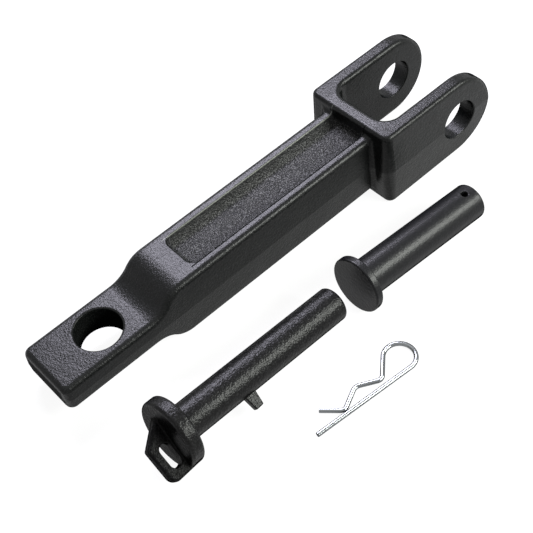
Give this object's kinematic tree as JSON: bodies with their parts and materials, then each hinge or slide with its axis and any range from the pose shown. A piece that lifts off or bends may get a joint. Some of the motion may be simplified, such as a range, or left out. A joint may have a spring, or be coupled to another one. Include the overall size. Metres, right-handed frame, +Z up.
{
  "type": "tow hook",
  "caption": "Forged tow hook: a bar with a flat eye, a pocketed shank and a clevis, with its headed clevis pin, its tabbed locking pin and a wire retaining clip laid beside it.",
  "frame": {"origin": "the centre of the eye's bore, at half the eye's thickness", "axes": "+X along the bar from its eye to its clevis, +Y along the clevis's bore, +Z up from the ground that all four pieces lie on"},
  "size_m": [0.4051, 0.2041, 0.0735],
  "materials": {
    "bar_coat": "coarse textured black powder coat on forged steel",
    "clevis_pin_coat": "smooth orange-peel black powder coat",
    "locking_pin_coat": "textured black powder coat on forged steel",
    "clip_zinc": "bright zinc plate on spring wire"
  },
  "bodies": {
    "root": {"tow_bar": "bar_coat", "clevis_pin": "clevis_pin_coat", "locking_pin": "locking_pin_coat", "retaining_clip": "clip_zinc"}
  },
  "joints": []
}
